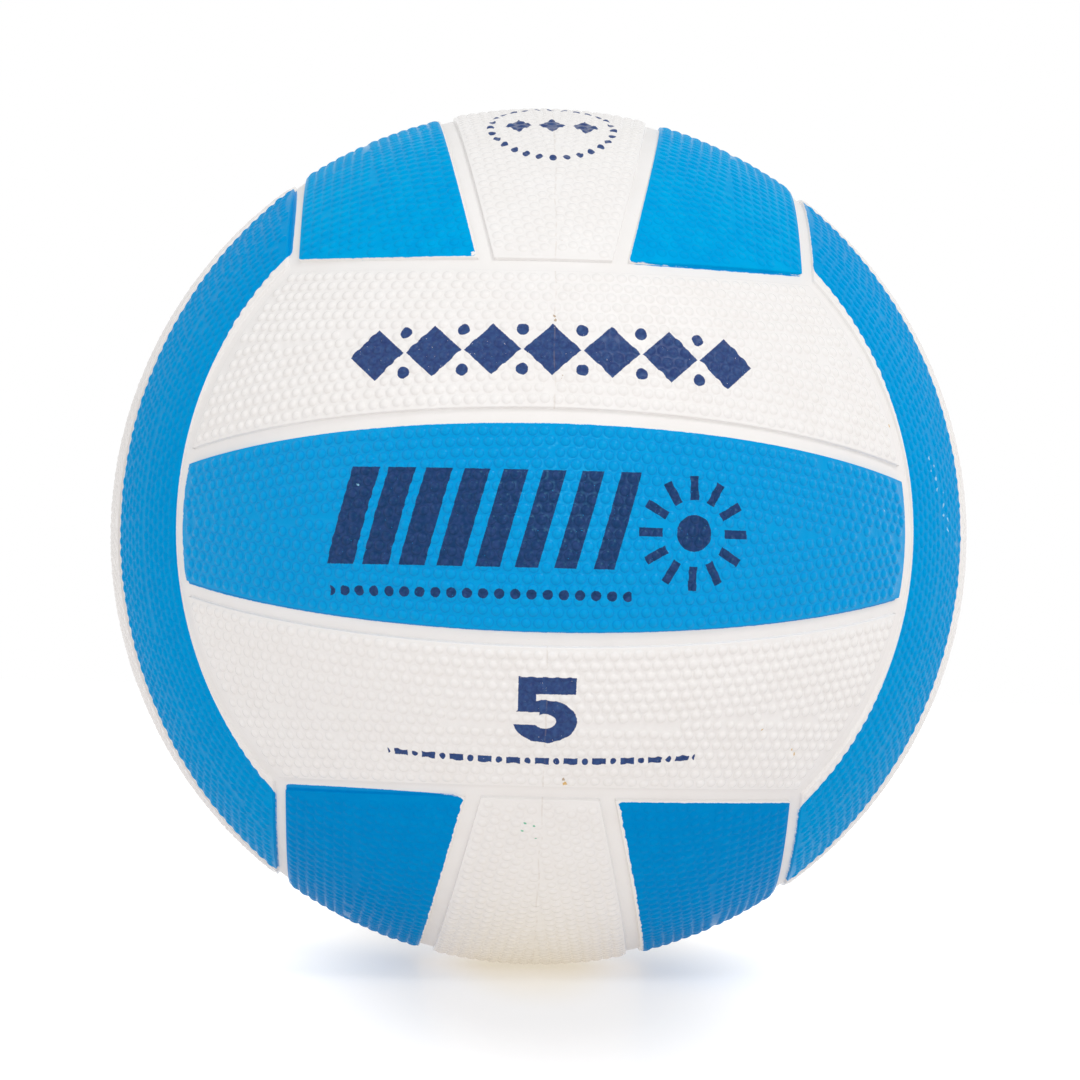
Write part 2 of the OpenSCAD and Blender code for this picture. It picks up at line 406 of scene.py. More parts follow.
def add_pebbles(build, strip, u, rng):
    """Adds a domed pebble at each unit vector u; returns the numbers of the foot rings."""
    nearest = gaps_between(u).min(1)
    radius = rng.normal(PEBBLE_R, PEBBLE_R_SPREAD, len(u)).clip(*PEBBLE_R_RANGE)
    free = np.minimum(nearest / 2, strip.room(u) - CHANNEL_W / 2 - EDGE_R - MARGIN_W)
    if strip.valve:
        free = np.minimum(free, from_valve(u) - VALVE_RINGS[0])
    radius = np.minimum(radius, (free - FOOT_GAP) / RING_SHARES[0])
    tall = PEBBLE_H if strip.name.startswith("front") else PEBBLE_WORN_H
    height = rng.normal(tall, PEBBLE_H_SPREAD, len(u)) * np.minimum(1, radius / PEBBLE_R)
    east, north = tangents(u, strip.seams[0][0])
    start = rng.uniform(0, 2 * math.pi, len(u))
    rings = []
    for share, sides in zip(RING_SHARES, RING_COUNTS):
        bearing = start[:, None] + np.arange(sides) * 2 * math.pi / sides
        out = np.broadcast_to((share * radius)[:, None], bearing.shape)
        ring = around(u[:, None], east[:, None], north[:, None], out, bearing)
        rise = height * max(0, 1 - share**DOME_POWER)
        flat = ring.reshape(-1, 3)
        numbers = build.add(flat, np.repeat(BALL_R + rise, sides), strip.flat(flat))
        rings.append(numbers.reshape(len(u), sides))
    tips = build.add(u, BALL_R + height, strip.flat(u))
    for outer, inner in zip(rings[:3], rings[1:4]):
        quads = np.stack([outer, np.roll(outer, -1, 1), np.roll(inner, -1, 1), inner], axis=2)
        build.faces.append(quads.reshape(-1, 4))
    outer, inner = rings[3], rings[4]
    first, second, third = outer[:, 0::2], outer[:, 1::2], np.roll(outer, -2, 1)[:, 0::2]
    after = np.roll(inner, -1, 1)
    for trio in ((first, second, inner), (second, third, after), (second, after, inner)):
        build.faces.append(np.stack(trio, axis=2).reshape(-1, 3))
    tip = np.broadcast_to(tips[:, None], inner.shape)
    build.faces.append(np.stack([inner, after, tip], axis=2).reshape(-1, 3))
    return rings[0]


def valve_profile(radius):
    """Height above the panel's face of the bead round the valve, at a distance from its axis."""
    centre = BEAD_H - BEAD_R
    across = min(abs(radius - BEAD_RING_R), BEAD_R)
    return max(0.0, centre + math.sqrt(BEAD_R**2 - across**2))


def add_valve_seat(build, strip, foot_r):
    """Adds the smooth ground and bead round the valve's mouth and the wall of its hole;
    returns the numbers of the outermost ring and of the ring at the foot of the hole."""
    bearing = np.arange(VALVE_SIDES) * 2 * math.pi / VALVE_SIDES

    def ring(radius, height):
        angle = radius / BALL_R
        out = np.cos(bearing)[:, None] * X + np.sin(bearing)[:, None] * Y
        u = math.cos(angle) * Z + math.sin(angle) * out
        return build.add(u, height, strip.flat(u))

    rings = [ring(radius, BALL_R + valve_profile(radius)) for radius in VALVE_RINGS]
    rings += [ring(NECK_R + out, BALL_R - deep) for out, deep in VALVE_WALL]
    rings.append(ring(NECK_R - VALVE_FOOT_IN, foot_r))
    for outer, inner in zip(rings, rings[1:]):
        build.band(outer, inner)
    return rings[0], rings[-1]


def panel_mesh(strip, rng):
    """The points, faces and map of a whole panel, with its pebbles, walls and underside."""
    build = Build()
    half = CHANNEL_W / 2
    foot_r = CARCASS_R - SUNK
    foot = strip.loop(half - FOOT_R)
    loops = [build.add(foot, foot_r, strip.flat(strip.loop(half - WALL_MAP_W)))]
    turns = np.linspace(0, math.pi / 2, EDGE_STEPS + 1)
    curves = [(1 - math.sin(t), 1 - math.cos(t)) for t in turns]
    profile = [(half - FOOT_R * out, CARCASS_R + FOOT_R * up) for out, up in curves]
    profile += [(half + EDGE_R * inwards, BALL_R - EDGE_R * down) for down, inwards in curves]
    profile.append((half + EDGE_R + MARGIN_W, BALL_R))
    for offset, height in profile:
        u = strip.loop(offset)
        loops.append(build.add(u, height, strip.flat(u)))
    for outer, inner in zip(loops, loops[1:]):
        build.band(outer, inner)
    u = pebble_centres(strip, rng)
    feet = add_pebbles(build, strip, u, rng)
    numbers = [loops[-1], feet.ravel()]
    sizes = [RING_SIDES] * len(u)
    under = [loops[0]]
    if strip.valve:
        seat, foot = add_valve_seat(build, strip, foot_r)
        numbers.append(seat)
        sizes.append(VALVE_SIDES)
        under.append(foot)
    numbers = np.concatenate(numbers)
    places = np.concatenate(build.places)
    build.faces.append(numbers[fill(places[numbers], len(loops[-1]), sizes)])
    add_underside(build, strip, under, foot_r)
    return build


def add_underside(build, strip, loops, foot_r):
    """Closes the panel underneath, between the feet of its walls."""
    points = np.concatenate(build.points)
    u = [points[loop] / foot_r for loop in loops]
    extra = np.concatenate([strip.loop(offset)[::UNDER_STEP] for offset in UNDER_RINGS])
    if strip.valve:
        extra = extra[from_valve(extra) > VALVE_CLEAR]
    added = build.add(extra, foot_r, strip.flat(extra))
    flat = strip.flat(np.concatenate([*u, extra]))
    sizes = [len(loop) for loop in loops[1:]] + [1] * len(extra)
    triangles = fill(flat, len(loops[0]), sizes)
    numbers = np.concatenate([*loops, added])
    build.faces.append(numbers[triangles][:, ::-1])
    build.under = len(triangles)


def place_object(name, data):
    """A new object of the scene with this data."""
    made = bpy.data.objects.new(name, data)
    bpy.context.scene.collection.objects.link(made)
    return made


def to_object(name, build, strip):
    """The mesh object of a built panel, in its place on the ball."""
    points = strip.to_ball(np.concatenate(build.points)) * MM
    mesh = bpy.data.meshes.new(name)
    sizes = np.concatenate([np.full(len(f), f.shape[1]) for f in build.faces])
    faces = [f[:, ::-1] if strip.mirrored else f for f in build.faces]
    corners = np.concatenate([f.ravel() for f in faces])
    mesh.vertices.add(len(points))
    mesh.vertices.foreach_set("co", points.astype(np.float32).ravel())
    mesh.loops.add(len(corners))
    mesh.loops.foreach_set("vertex_index", corners.astype(np.int32))
    mesh.polygons.add(len(sizes))
    starts = np.concatenate([[0], np.cumsum(sizes)[:-1]])
    mesh.polygons.foreach_set("loop_start", starts.astype(np.int32))
    mesh.update(calc_edges=True)
    places = np.concatenate(build.places)
    low, high = places.min(0), places.max(0)
    spread = (places - low) / (high - low).max()
    corner_places = spread[corners]
    under = slice(-3 * build.under, None)
    corner_places[under] = (0, 1 - UNDER_MAP_SHARE) + corner_places[under] * UNDER_MAP_SHARE
    mesh.uv_layers.new(name="OFBake").data.foreach_set("uv", corner_places.astype(np.float32).ravel())
    mesh.validate()
    mesh.shade_smooth()
    return place_object(name, mesh)


class Shader:
    """Adds nodes to the tree of one material or world. Most methods return the output of
    the last node that they add."""

    def __init__(self, owner):
        self.owner = owner
        owner.use_nodes = True
        self.tree = owner.node_tree
        self.tree.nodes.clear()

    def put(self, kind, *values, **settings):
        """Adds a node of this kind, with values for its first sockets; returns the node."""
        node = self.tree.nodes.new("ShaderNode" + kind)
        for key, value in settings.items():
            setattr(node, key, value)
        for socket, value in zip(node.inputs, values):
            self.give(socket, value)
        return node

    def give(self, socket, value):
        if isinstance(value, bpy.types.NodeSocket):
            self.tree.links.new(value, socket)
        else:
            socket.default_value = value

    def math(self, operation, *values):
        return self.put("Math", *values, operation=operation).outputs[0]

    def minus(self, value, other):
        return self.math("SUBTRACT", value, other)

    def times(self, value, other):
        return self.math("MULTIPLY", value, other)

    def linear(self, value, factor, term):
        return self.math("MULTIPLY_ADD", value, factor, term)

    def vector(self, operation, *values):
        """Outputs of a node of vector mathematics."""
        return self.put("VectorMath", *values, operation=operation).outputs

    def dot(self, value, direction):
        return self.vector("DOT_PRODUCT", value, tuple(direction))["Value"]

    def place(self):
        """Place on the ball, in millimetres."""
        place = self.put("TexCoord").outputs["Object"]
        node = self.put("VectorMath", place, operation="SCALE")
        node.inputs["Scale"].default_value = 1 / MM
        return node.outputs[0]

    def length(self, *values):
        """Length of the vector with these components."""
        return self.vector("LENGTH", self.put("CombineXYZ", *values).outputs[0])["Value"]

    def spokes(self, x, y, count):
        """Radius of the place x, y, and its distance sideways from the nearest of count spokes."""
        radius = self.length(x, y)
        turn = self.repeat(self.math("ARCTAN2", y, x), 2 * math.pi / count)
        return radius, self.times(turn, radius)

    def chart(self, unit, pole, ahead):
        """Distances along the surface to the right of the direction ahead, and towards the
        pole, of the directions unit."""
        right = self.dot(unit, np.cross(pole, ahead))
        angle = self.math("ARCTAN2", right, self.dot(unit, ahead))
        rise = self.math("ARCSINE", self.dot(unit, pole))
        return self.times(angle, BALL_R), self.times(rise, BALL_R)

    def off(self, value, middle, half):
        """How far value lies outside the stretch of this half length about middle."""
        return self.minus(self.math("ABSOLUTE", self.minus(value, middle)), half)

    def repeat(self, value, pitch, start=0.0):
        """value as the distance from the nearest of start, start + pitch and so on."""
        turns = self.linear(value, 1 / pitch, 0.5 - start / pitch)
        return self.linear(self.math("FRACT", turns), pitch, -pitch / 2)

    def most(self, *values):
        """The greatest value. Of distances outside shapes: outside what they have in common."""
        return reduce(lambda a, b: self.math("MAXIMUM", a, b), values)

    def least(self, *values):
        """The least value. Of distances outside shapes: outside all of them together."""
        return reduce(lambda a, b: self.math("MINIMUM", a, b), values)

    def noise(self, place, size, detail, shift=0):
        """Smooth noise about 0.5, with features of about this size."""
        if shift:
            place = self.vector("ADD", place, (shift, shift, shift))[0]
        node = self.put("TexNoise")
        self.give(node.inputs["Vector"], place)
        node.inputs["Scale"].default_value = 1 / size
        node.inputs["Detail"].default_value = detail
        return node.outputs["Fac"]

    def between(self, value, low, high):
        """0 below low and 1 above high, with a smooth change between."""
        node = self.put("MapRange", value, low, high, 0.0, 1.0, interpolation_type="SMOOTHSTEP")
        return node.outputs[0]

    def sway(self, place, noise, reach, low):
        """This noise, stretched so that it runs from low to low + reach."""
        return self.linear(self.noise(place, *noise), reach, low)

    def patches(self, place, noise, low, high):
        """0 where this noise is below low and 1 where it is above high."""
        return self.between(self.noise(place, *noise), low, high)

    def blend(self, share, first, second):
        """first where share is 0 and second where it is 1. The mix node keeps its sockets for
        colours at 6 and 7, and its mixed colour at 2."""
        node = self.put("Mix", data_type="RGBA")
        self.give(node.inputs[0], share)
        self.give(node.inputs[6], first)
        self.give(node.inputs[7], second)
        return node.outputs[2]

    def finish(self, colour, roughness, grain, depth, gloss):
        """Joins up the surface, with a bump of this depth where the grain is high."""
        normal = self.put("Bump")
        self.give(normal.inputs["Distance"], depth * MM)
        self.give(normal.inputs["Height"], grain)
        surface = self.put("BsdfPrincipled")
        self.give(surface.inputs["Base Color"], colour)
        self.give(surface.inputs["Roughness"], roughness)
        self.give(surface.inputs["Normal"], normal.outputs[0])
        for key, value in gloss.items():
            self.give(surface.inputs[key], value)
        self.put("OutputMaterial", surface.outputs[0])
        return self.owner


# Colours and gloss
BLUE_LIGHT = (0.0, 0.415, 0.79, 1)
BLUE = (0.0, 0.32, 0.71, 1)
BLUE_DEEP = (0.0, 0.25, 0.62, 1)
WHITE = (0.885, 0.872, 0.862, 1)
WHITE_WARM = (0.80, 0.765, 0.735, 1)
DIRT = (0.42, 0.31, 0.2, 1)
NAVY = (0.01, 0.038, 0.135, 1)
NAVY_WORN = (0.028, 0.055, 0.185, 1)
NAVY_THIN = (0.04, 0.09, 0.24, 1)
# Darker colours for the painted shade round each pebble's foot, on blue, white and navy
BLUE_FOOT_SHADE = (0.0, 0.2, 0.56, 1)
WHITE_FOOT_SHADE = (0.72, 0.68, 0.645, 1)
NAVY_FOOT_SHADE = (0.006, 0.022, 0.085, 1)
BLUE_TINT = (0.3, 0.9, 1.0, 1)
BLUE_GLOSS = {"Specular IOR Level": 0.16, "Specular Tint": BLUE_TINT}
BLUE_DULL = {"Specular IOR Level": 0.008, "Specular Tint": BLUE_TINT}
WHITE_GLOSS = {"Specular IOR Level": 0.1}
PLAIN_GLOSS = {"Specular IOR Level": 0.4}

# Painted shade: a darker ring round each pebble's foot, where shade falls in the crease. Its share on the
# front's blue and elsewhere, and the heights over which it sets in and fades out
FOOT_SHADE_SHARE = 0.4
FOOT_SHADE_WORN_SHARE = 0.15
FOOT_SHADE_SETS_IN = (0.01, 0.05)
FOOT_SHADE_FADES = (0.26, 0.1)

# Tone of the blue: its lowest on each face, lighter on the top and darker on the bottom and the left as
# painted light and shade, and the tones where it is deep, plain and light
LOWEST_TONES_WITH_PAINTED_SHADE = {"front": 0.35, "top": 0.55, "bottom": -0.15, "left": 0.2, "right": 0.35,
                "back": 0.3, "channels": 0.15}
TONE_STEPS = (0.0, 0.55, 1.1)

# Noises, each as (size of its features, detail, shift). After it come a sway's reach and
# lowest value, or the values where patches begin and where they are full.
PAINT_NOISE = (5.0, 3)
PAINT_REACH = 0.5
WARMTH = ((9.0, 3), 0.5, -0.1)
SPECKS = ((0.35, 1, 31), 0.76, 0.8)
SPECK_AREAS = ((5.0, 2, 7), 0.55, 0.7)
SPECK_SHARE = 0.5
PINHOLES = ((0.3, 0, 17), 0.84, 0.88)
INK_WEAR = ((1.1, 3, 23), 0.3, 0.75)
PARTING_BEND = ((12.0, 1, 41), 1.6, -0.2)
PARTING_PATCHES = ((2.5, 2, 43), 0.4, 0.6)
PARTING_FADES = (0.28, 0.1)
PARTING_SHARE = 0.16
SPOT_WOBBLE = ((0.6, 1, 53), 0.9, -0.45)

# Wander of a print's edge, with the noises and with the pebbles' height, and how soft it is
SLOW_WANDER = ((1.6, 2, 3), 3.0, -1.5)
FINE_WANDER = ((0.35, 1, 11), 0.2, -0.1)
PEBBLE_WANDER_LOW = -0.4
INK_WANDER = 0.02
PRINT_SOFT = 0.06
SPOT_SOFT = 0.08

# Grain that sets the roughness, as (reach, lowest value), and the depth of its bump
GRAIN = (0.25, 2, 5)
GRAIN_ROUGHNESS = (0.1, 0.15)
GRAIN_DEPTH = 0.008
CHANNEL_GRAIN = (0.3, 2, 5)
CHANNEL_ROUGHNESS = 0.45
CHANNEL_GRAIN_DEPTH = 0.03
PLAIN_GRAIN_DEPTH = 0.04
PLAIN_GRAIN_FINER = 6
PLAIN_DETAIL = 3

# Pieces inside: name of the material, its two tones, the size of its patches, its roughness
PLAIN = {
    "winding": ("winding_thread", (0.7, 0.62, 0.45, 1), (0.6, 0.5, 0.35, 1), 1.5, 0.7),
    "bladder": ("bladder_butyl", (0.02, 0.02, 0.022, 1), (0.03, 0.03, 0.03, 1), 6, 0.5),
    "valve_body": ("valve_rubber", (0.035, 0.035, 0.038, 1), (0.05, 0.05, 0.05, 1), 2, 0.5),
    "valve_core": ("valve_core_rubber", (0.75, 0.73, 0.7, 1), (0.66, 0.63, 0.58, 1), 2, 0.5),
}

# Spots: distance round the ball from its front, height along it, radius and colour
SCUFF = (0.3, 0.62, 0.86, 1)
BROWN = (0.5, 0.4, 0.3, 1)
ORANGE = (0.72, 0.48, 0.2, 1)
GREEN = (0.2, 0.55, 0.38, 1)
SPOTS = {
    "right_front": ((120.5, 21.1, 0.5, SCUFF), (123.2, 19.1, 0.35, SCUFF), (120.7, 18.0, 0.35, SCUFF),
                    (123.5, 16.1, 0.65, SCUFF), (123.4, 13.3, 0.45, SCUFF), (127.1, 12.7, 0.35, SCUFF),
                    (127.1, 9.4, 0.6, SCUFF), (126.7, 6.9, 0.5, SCUFF), (130.0, 6.0, 0.55, SCUFF),
                    (129.8, 3.2, 0.6, SCUFF)),
    "front_middle": ((91.7, 6.7, 0.3, SCUFF), (94.6, 6.8, 0.3, SCUFF), (100.2, 5.3, 0.25, SCUFF),
                     (-47.4, 9.3, 0.35, SCUFF)),
    "front_upper": ((0.4, 53.0, 0.35, BROWN), (0.7, 52.0, 0.3, BROWN), (2.0, 36.3, 0.35, BROWN),
                    (2.6, 37.1, 0.25, BROWN), (101.2, 28.5, 0.4, ORANGE)),
    "front_lower": ((62.5, -48.9, 0.45, ORANGE), (77.1, -55.8, 0.4, ORANGE), (75.6, -54.6, 0.3, ORANGE),
                    (6.9, -65.2, 0.5, ORANGE), (6.3, -64.0, 0.35, BROWN)),
    "bottom_middle": ((-4.5, -77.9, 0.35, GREEN), (-1.2, -82.8, 0.3, GREEN), (-5.3, -80.4, 0.35, GREEN),
                      (-1.6, -78.6, 0.3, GREEN)),
    "top_left": ((-24.5, 71.4, 0.6, WHITE),),
    "channels": ((0.5, 66.8, 0.35, BROWN), (-87.9, -68.9, 0.4, BROWN), (23.7, -70.0, 0.7, BLUE),
                 (-0.1, -71.1, 0.35, BLUE), (-3.2, -70.6, 0.25, BLUE)),
}
PARTED = ("top_middle", "front_upper", "front_lower", "bottom_middle")

# Marks printed in navy: plain shapes and the number of the ball's size. BAR_HALF is a half
# width and how much it shrinks along the row, DOT_ROW and DASH_LINE are (first, last, height),
# and DIAL_TICK is (radius of its middle, half length, half width).
LOZENGES = 7
LOZENGE_PITCH = 14.6
LOZENGE_HALF = (7.0, 6.8)
LOZENGE_DEPTH = 16.8
BORDER_DOT_R = 1.5
BARS = 8
BAR_PITCH = 9.3
BAR_START = -49.0
BAR_SLANT = 0.27
BAR_HALF = (2.75, 0.017)
BAR_MIDDLE = 1.9
BAR_HALF_HEIGHT = 11.7
DOT_ROW = (-54.5, 20.5, -16.2)
DOT_ROW_PITCH = 3.9
DOT_ROW_R = 1.25
DIAL_PLACE = (35.5, -0.6)
DIAL_TICKS = 12
DIAL_TICK = (10.9, 2.9, 1.05)
DIAL_DISC_R = 4.4
DIGIT_DEPTH = 17.8

# Parts of the digit: (middle, half width, middle of the height, half height), and its bowl:
# (middle, middle of the height, narrowing, radius, half its stroke)
DIGIT_FLAG = (0.7, 7.0, 6.3, 2.2)
DIGIT_STEM = (-4.1, 2.2, 4.2, 4.3)
DIGIT_GAP = (-6.0, 5.0, -2.3, 1.7)
DIGIT_BOWL = (0.4, -3.0, 0.72, 3.8, 1.85)

DASH_LINE = (-39.5, 39.5, 31.6)
DASH_PITCH = 7.2
DASH_HALF = (1.75, 0.8)
SEAL_R = 15.6
SEAL_STRETCH = 1.42
SEAL_DOTS = 28
SEAL_DOT_R = 0.95
SEAL_LOZENGES = 3
SEAL_LOZENGE_PITCH = 8.4
SEAL_LOZENGE_HALF = (3.4, 5.2)


def lozenge(shader, s, t, half_w, half_h):
    """How far outside a lozenge the place s, t is."""
    across = shader.times(shader.math("ABSOLUTE", s), 1 / half_w)
    total = shader.linear(shader.math("ABSOLUTE", t), 1 / half_h, across)
    slope = math.hypot(1 / half_w, 1 / half_h)
    return shader.linear(total, 1 / slope, -1 / slope)


def disc(shader, s, t, radius):
    """How far outside a disc the place s, t is."""
    return shader.minus(shader.length(s, t), radius)


def block(shader, s, t, middle_s, half_s, middle_t, half_t):
    """How far outside a rectangle the place s, t is."""
    return shader.most(shader.off(s, middle_s, half_s), shader.off(t, middle_t, half_t))


def border_mark(shader, s, t):
    """A row of lozenges with a dot above and below each gap."""
    reach = LOZENGE_PITCH * LOZENGES / 2
    height = shader.minus(t, LOZENGE_DEPTH)
    diamond = lozenge(shader, shader.repeat(s, LOZENGE_PITCH), height, *LOZENGE_HALF)
    row = shader.most(diamond, shader.off(s, 0, reach))
    side = shader.minus(shader.math("ABSOLUTE", height), LOZENGE_HALF[1] - BORDER_DOT_R)
    dot = disc(shader, shader.repeat(s, LOZENGE_PITCH, LOZENGE_PITCH / 2), side, BORDER_DOT_R)
    dots = shader.most(dot, shader.off(s, 0, reach - LOZENGE_PITCH / 4))
    return shader.least(row, dots)


def bar_mark(shader, s, t):
    """Slanted bars that get narrower, a row of dots under them and a dial beside them."""
    upright = shader.linear(t, -BAR_SLANT, s)
    half = shader.linear(upright, -BAR_HALF[1], BAR_HALF[0])
    away = shader.math("ABSOLUTE", shader.repeat(upright, BAR_PITCH, BAR_START))
    middle = BAR_START + BAR_PITCH * (BARS - 1) / 2
    area = block(shader, t, upright, BAR_MIDDLE, BAR_HALF_HEIGHT, middle, BAR_PITCH * BARS / 2)
    bars = shader.most(shader.minus(away, half), area)
    first, last, height = DOT_ROW
    dot = disc(shader, shader.repeat(s, DOT_ROW_PITCH, first), shader.minus(t, height), DOT_ROW_R)
    row = shader.most(dot, shader.off(s, (first + last) / 2, (last - first) / 2))
    x = shader.minus(s, DIAL_PLACE[0])
    y = shader.minus(t, DIAL_PLACE[1])
    radius, sideways = shader.spokes(x, y, DIAL_TICKS)
    middle, reach, half = DIAL_TICK
    tick = block(shader, sideways, radius, 0, half, middle, reach)
    return shader.least(bars, row, tick, shader.minus(radius, DIAL_DISC_R))


def digit_mark(shader, s, t):
    """The number 5 and a line of dashes and dots under it. t grows downwards."""
    y = shader.minus(DIGIT_DEPTH, t)
    flag, stem, gap = [block(shader, s, y, *part) for part in (DIGIT_FLAG, DIGIT_STEM, DIGIT_GAP)]
    middle_s, middle_y, narrowing, radius, half = DIGIT_BOWL
    wide = shader.times(shader.minus(s, middle_s), narrowing)
    ring = shader.off(shader.length(wide, shader.minus(y, middle_y)), radius, half)
    five = shader.least(flag, stem, shader.most(ring, shader.times(gap, -1)))
    first, last, depth = DASH_LINE
    height = shader.minus(t, depth)
    reach = shader.off(s, (first + last) / 2, (last - first) / 2)
    dash = block(shader, shader.repeat(s, DASH_PITCH), height, 0, DASH_HALF[0], 0, DASH_HALF[1])
    dot = disc(shader, shader.repeat(s, DASH_PITCH, DASH_PITCH / 2), height, DASH_HALF[1])
    return shader.least(five, shader.most(shader.least(dash, dot), reach))


def seal_mark(shader, s, t):
    """An oval of dots round three lozenges."""
    radius, sideways = shader.spokes(s, shader.times(t, 1 / SEAL_STRETCH), SEAL_DOTS)
    ring = disc(shader, sideways, shader.minus(radius, SEAL_R), SEAL_DOT_R)
    inner = lozenge(shader, shader.repeat(s, SEAL_LOZENGE_PITCH), t, *SEAL_LOZENGE_HALF)
    reach = SEAL_LOZENGE_PITCH * SEAL_LOZENGES / 2
    return shader.least(ring, shader.most(inner, shader.off(s, 0, reach)))


# Marked strips: what is printed, and how far the pole of its chart is raised from the back of
# the ball, or None where it is the pole of the strip's low seam
MARKS = {
    "front_upper": (border_mark, None),
    "front_middle": (bar_mark, math.radians(90)),
    "front_lower": (digit_mark, None),
    "top_middle": (seal_mark, math.radians(21.7)),
}


def printed(shader, unit, height, wander, strip):
    """How far inside a panel's blue print each place is, in millimetres."""
    along = shader.dot(unit, strip.to_ball(X))
    across = shader.dot(unit, strip.to_ball(Y))
    low, high = math.sin(SEAM_ANGLE), math.sin(BORDER_ANGLE)
    if strip.middle:
        low, high = -low, low
    ahead = shader.times(along, 1 / math.cos(BORDER_ANGLE))
    upwards = shader.linear(across, 2 / (high - low), -(high + low) / (high - low))
    short = []
    for side, (distance, lean, bow, ragged) in enumerate(PRINT.get(strip.name, PLAIN_PRINT)):
        pole, angle = strip.seams[side]
        scale = BALL_R / math.cos(angle)
        level = math.sin(angle + distance / BALL_R)
        depth = shader.linear(shader.dot(unit, strip.to_ball(pole)), scale, -scale * level)
        share = upwards if side % 2 else ahead
        if lean or bow:
            depth = shader.linear(share, shader.linear(share, -bow, -lean), depth)
        if side == 2 and strip.name in SLANTED:
            depth = shader.linear(shader.least(height, 0.0), SLANT, depth)
        depth = shader.linear(wander, ragged, depth)
        if side % 2:
            other_end = shader.times(along, BALL_R * (side - 2))
            depth = shader.most(depth, other_end)
        short.append(shader.most(shader.minus(PRINT_CORNER_R, depth), 0.0))
    end = shader.most(short[1], short[3])
    return shader.minus(PRINT_CORNER_R, shader.length(short[0], end, short[2]))


def marked(shader, unit, strip):
    """How far outside a panel's navy marks each place is, in millimetres."""
    mark, raised = MARKS[strip.name]
    if raised is None:
        low_pole = strip.seams[0][0]
        pole, ahead = strip.to_ball(low_pole), strip.to_ball(np.cross(X, low_pole))
    else:
        pole = np.array([0, math.cos(raised), math.sin(raised)])
        ahead = np.array([0, -math.sin(raised), math.cos(raised)])
    s, t = shader.chart(unit, pole, ahead)
    if strip.mirrored:
        s = shader.times(s, -1)
    return mark(shader, s, t)


def rubber_grounds(shader):
    """Place, direction from the centre and pebble height, which every rubber starts from."""
    place = shader.place()
    unit = shader.vector("NORMALIZE", place)[0]
    return place, unit, shader.minus(shader.vector("LENGTH", place)["Value"], BALL_R)


def foot_shade(shader, height, share):
    """The share of painted shade round the foot of each pebble."""
    outer = shader.between(height, *FOOT_SHADE_SETS_IN)
    inner = shader.between(height, *FOOT_SHADE_FADES)
    return shader.times(shader.times(outer, inner), share)


def white_colour(shader, place):
    """White rubber: a little warmer in places, with fine dirt here and there."""
    colour = shader.blend(shader.sway(place, *WARMTH), WHITE, WHITE_WARM)
    specks = shader.patches(place, *SPECKS)
    areas = shader.patches(place, *SPECK_AREAS)
    return shader.blend(shader.times(specks, shader.times(areas, SPECK_SHARE)), colour, DIRT)


def blue_colour(shader, place, face):
    """Blue paint, with slow changes of its thickness, and a tone by face that is painted light on the top
    and painted shade on the bottom.
    """
    tone = shader.sway(place, PAINT_NOISE, PAINT_REACH, LOWEST_TONES_WITH_PAINTED_SHADE[face])
    deep, plain, light = TONE_STEPS
    colour = shader.blend(shader.between(tone, deep, plain), BLUE_DEEP, BLUE)
    return shader.blend(shader.between(tone, plain, light), colour, BLUE_LIGHT)


def wander_of(shader, place, height):
    """Wander of a print's ragged edge, with the pebbles and with a slow noise."""
    pebble = shader.linear(height, 1 / PEBBLE_H, PEBBLE_WANDER_LOW)
    return shader.math("ADD", pebble, shader.sway(place, *SLOW_WANDER))


def parting_line(shader, place, colour):
    """The faint line where the halves of the mould met, with a little dirt on it."""
    x = shader.put("SeparateXYZ", place).outputs[0]
    away = shader.math("ABSOLUTE", shader.minus(x, shader.sway(place, *PARTING_BEND)))
    line = shader.between(away, *PARTING_FADES)
    patchy = shader.patches(place, *PARTING_PATCHES)
    return shader.blend(shader.times(line, shader.times(patchy, PARTING_SHARE)), colour, DIRT)


def spotted(shader, place, colour, name):
    """The colour with the small spots, specks and scuffs of one panel or of the channels."""
    spots = SPOTS.get(name, ())
    if not spots:
        return colour
    wobble = shader.sway(place, *SPOT_WOBBLE)
    for east, north, radius, tone in spots:
        longitude, latitude = east / BALL_R, north / BALL_R
        out = math.cos(latitude) * BALL_R
        centre = (math.sin(longitude) * out, -math.cos(longitude) * out, math.sin(latitude) * BALL_R)
        away = shader.math("ADD", shader.vector("DISTANCE", place, centre)["Value"], wobble)
        inside = shader.between(away, radius + SPOT_SOFT, radius - SPOT_SOFT)
        colour = shader.blend(inside, colour, tone)
    return colour


